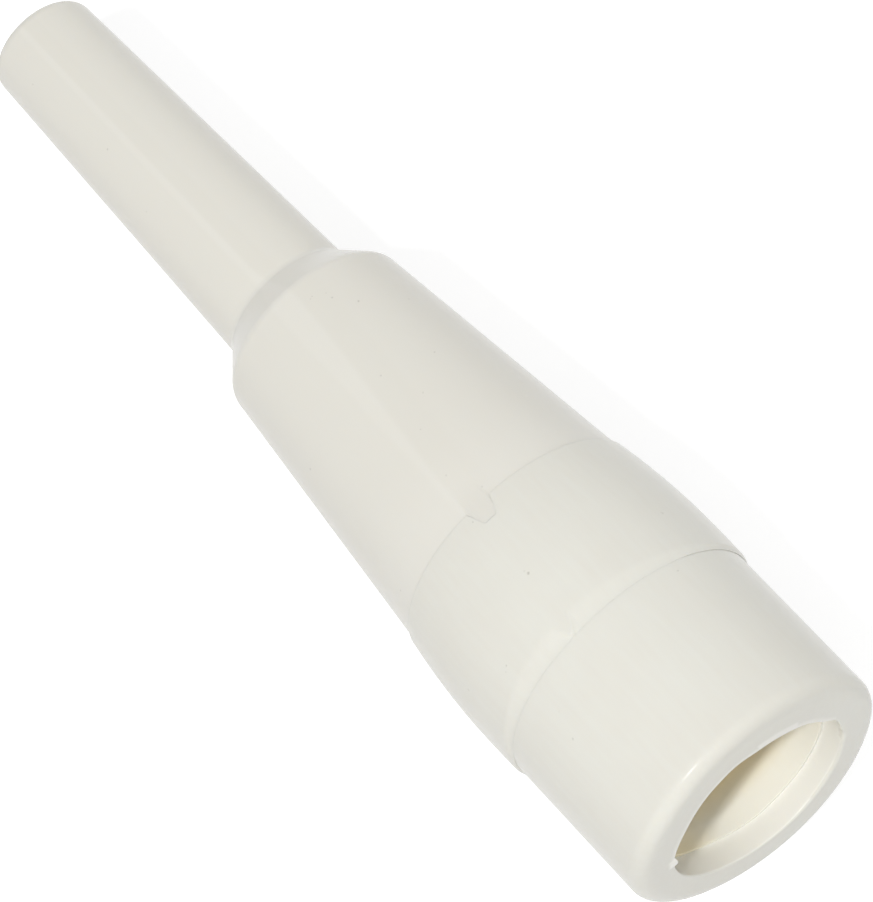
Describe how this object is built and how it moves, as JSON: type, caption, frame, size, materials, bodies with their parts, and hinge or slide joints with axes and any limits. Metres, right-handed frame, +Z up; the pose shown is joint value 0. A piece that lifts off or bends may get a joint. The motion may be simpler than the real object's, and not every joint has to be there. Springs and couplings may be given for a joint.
{
  "type": "pneumatic muffler",
  "caption": "Tapered plastic exhaust muffler with a flared casing, a slim tail tube and a thick mouth collar that swivels on the casing.",
  "frame": {"origin": "centre of the mouth's face, on the muffler's axis", "axes": "+X along the axis and out of the mouth, tail tube towards -X, +Z up, locating tongue on the upper side, 23.5 degrees from the top towards -Y"},
  "size_m": [0.159, 0.041, 0.041],
  "materials": {
    "shell_plastic": "satin off-white moulding",
    "liner_plastic": "satin cream moulding",
    "baffle_plastic": "matt moulding",
    "core_plastic": "matt moulding",
    "washer_plastic": "smooth acetal",
    "porous_plastic": "sintered, grainy",
    "seal_rubber": "matt",
    "spring_steel": "bright spring steel",
    "gauze_steel": "woven wire",
    "absorber_felt": "needled felt"
  },
  "bodies": {
    "collar": {"mouth_collar": "shell_plastic", "inlet_sleeve": "liner_plastic", "collar_seal": "seal_rubber", "thrust_washer": "washer_plastic", "collar_retaining_ring": "spring_steel"},
    "muffler_body": {"flare_casing": "shell_plastic", "front_baffle": "baffle_plastic", "casing_seal": "seal_rubber", "tail_casing": "shell_plastic", "perforated_core_tube": "core_plastic", "core_gauze_sleeve": "gauze_steel", "absorber_ring_1": "absorber_felt", "absorber_ring_2": "absorber_felt", "absorber_ring_3": "absorber_felt", "absorber_ring_4": "absorber_felt", "absorber_ring_5": "absorber_felt", "absorber_ring_6": "absorber_felt", "rear_baffle": "baffle_plastic", "tail_plug": "porous_plastic", "tail_screen": "gauze_steel", "tail_retaining_ring": "spring_steel"}
  },
  "joints": [
    {"name": "collar_swivel", "type": "hinge", "parent": "collar", "child": "muffler_body", "pos_m": [-0.02875, 0, 0], "axis": [1, 0, 0], "continuous": true}
  ]
}
